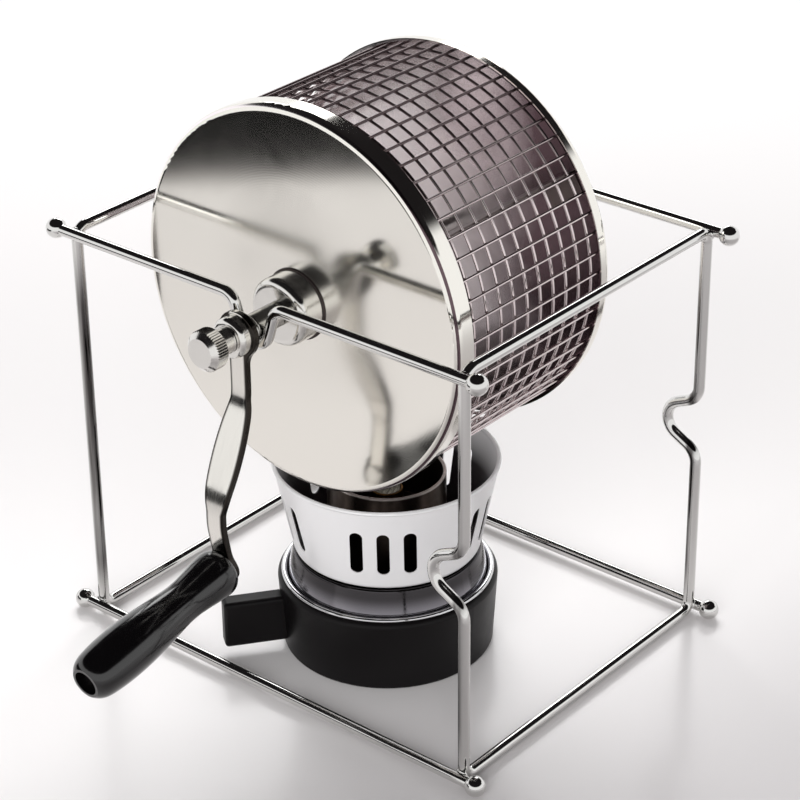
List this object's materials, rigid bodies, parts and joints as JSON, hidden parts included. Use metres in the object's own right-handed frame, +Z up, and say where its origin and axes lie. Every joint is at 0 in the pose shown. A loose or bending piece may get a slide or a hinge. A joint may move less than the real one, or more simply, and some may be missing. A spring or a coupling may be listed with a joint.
{
  "type": "hand-crank coffee roaster",
  "caption": "Tabletop coffee roaster: a wire-mesh drum turned by a hand crank, lying in the notches of a wire stand above a spirit burner with a slotted windshield.",
  "frame": {"origin": "on the table, under the middle of the wire stand", "axes": "+Z up, -Y towards the crank, +X to the right when the crank faces the viewer"},
  "size_m": [0.1892, 0.2345, 0.2116],
  "materials": {
    "stand_wire": "polished steel wire",
    "bush_metal": "turned and polished",
    "cap_sheet": "polished stamped sheet",
    "mesh_wire": "bright welded wire mesh",
    "vane_sheet": "plain sheet",
    "turned_steel": "turned and polished",
    "arm_strip": "polished strip",
    "grip_moulding": "glossy black moulding",
    "base_moulding": "satin black moulding",
    "bezel_metal": "bright ring",
    "tank_sheet": "bright spun sheet",
    "cup_sheet": "heat-darkened sheet",
    "wick_tube_brass": "drawn tube",
    "wick_cotton": "braided cotton",
    "shield_sheet": "spun sheet, fine brushed"
  },
  "bodies": {
    "stand": {"left_side_loop": "stand_wire", "right_side_loop": "stand_wire", "front_top_wire": "stand_wire", "rear_top_wire": "stand_wire", "front_bottom_wire": "stand_wire", "rear_bottom_wire": "stand_wire", "top_ball_ends": "stand_wire", "foot_balls": "stand_wire"},
    "bushes": {"front_bush": "bush_metal", "rear_bush": "bush_metal"},
    "drum": {"front_end_cap": "cap_sheet", "rear_end_cap": "cap_sheet", "mesh_bars": "mesh_wire", "mesh_hoops": "mesh_wire", "stirring_vanes": "vane_sheet", "front_hub": "turned_steel", "rear_hub": "turned_steel", "shaft": "turned_steel", "shaft_stop_collar": "turned_steel", "crank_arm": "arm_strip", "crank_collar": "turned_steel", "grip_pin": "turned_steel"},
    "thumb_screw": {"thumb_screw": "turned_steel"},
    "grip": {"grip": "grip_moulding"},
    "burner": {"burner_base": "base_moulding", "burner_bezel": "bezel_metal", "fuel_tank": "tank_sheet", "burner_cup": "cup_sheet", "wick_tube": "wick_tube_brass", "wick": "wick_cotton", "windshield": "shield_sheet"}
  },
  "joints": [
    {"name": "drum_lift", "type": "slide", "parent": "stand", "child": "bushes", "axis": [0, 0, 1], "range_m": [0, 0.04]},
    {"name": "drum_spin", "type": "hinge", "parent": "bushes", "child": "drum", "pos_m": [0, 0, 0.1436], "axis": [0, 1, 0], "continuous": true},
    {"name": "thumb_screw_turn", "type": "hinge", "parent": "drum", "child": "thumb_screw", "pos_m": [0, -0.0817, 0.1436], "axis": [0, 1, 0], "continuous": true},
    {"name": "grip_spin", "type": "hinge", "parent": "drum", "child": "grip", "pos_m": [0, -0.08712, 0.0618], "axis": [0, -0.9833, -0.1822], "continuous": true},
    {"name": "burner_slide", "type": "slide", "parent": "stand", "child": "burner", "axis": [1, 0, 0], "range_m": [-0.03, 0.03]}
  ]
}
